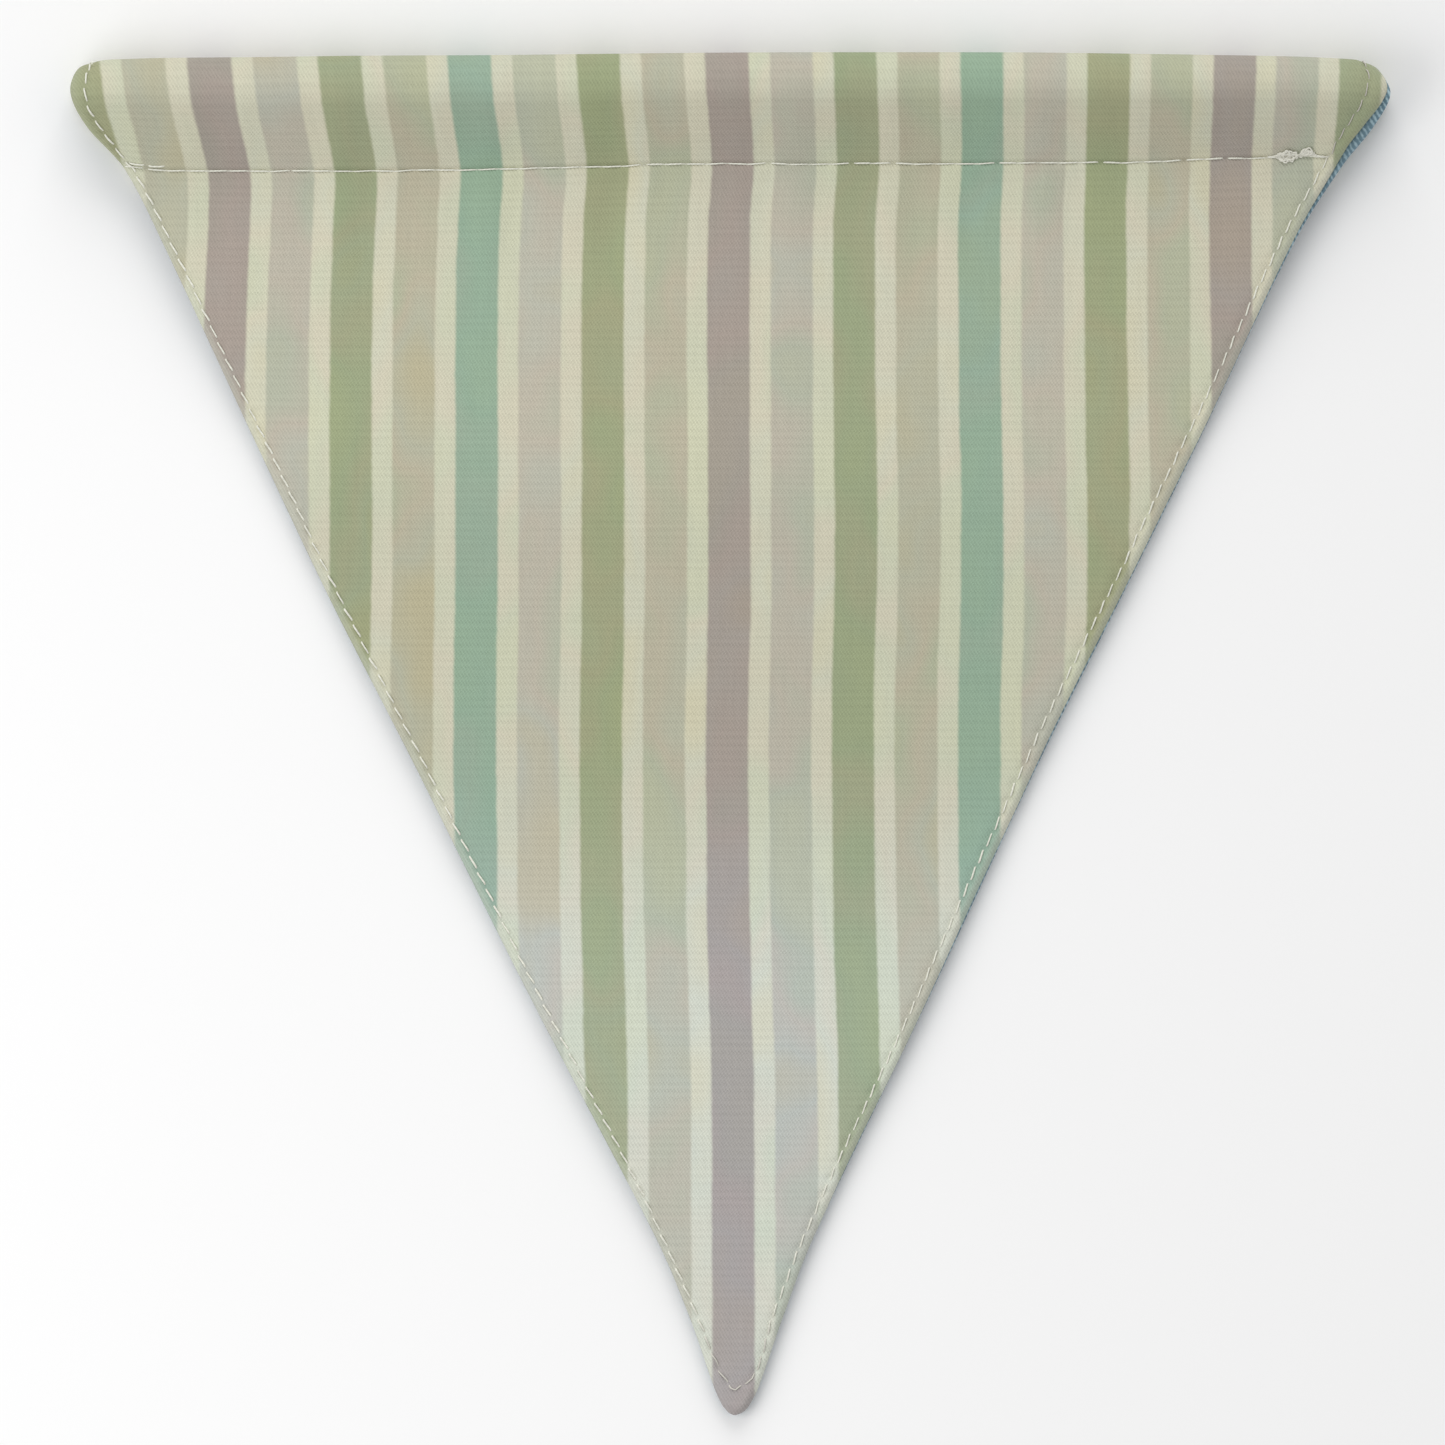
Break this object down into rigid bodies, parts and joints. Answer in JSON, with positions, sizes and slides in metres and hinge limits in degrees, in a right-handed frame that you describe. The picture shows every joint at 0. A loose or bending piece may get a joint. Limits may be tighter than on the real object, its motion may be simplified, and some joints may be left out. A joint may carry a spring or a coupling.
{
  "type": "bunting pennant",
  "caption": "Triangular cloth bunting pennant with a striped front, a blue backing and an open channel along its top edge for a tape or cord.",
  "frame": {"origin": "under the middle of the pennant's box, on the surface it lies on", "axes": "+X across the pennant, +Y from its tip to its channel, +Z out of its striped face"},
  "size_m": [0.16, 0.1654, 0.0102],
  "materials": {
    "striped_cloth": "plain-woven cotton with soft watercolour stripes in green, aqua, mauve and grey on cream",
    "backing_cloth": "slate blue cotton with a coarse, denim-like weave",
    "thread": "cream sewing thread, matt"
  },
  "bodies": {
    "root": {"front_panel": "striped_cloth", "backing_panel": "backing_cloth"}
  },
  "joints": []
}
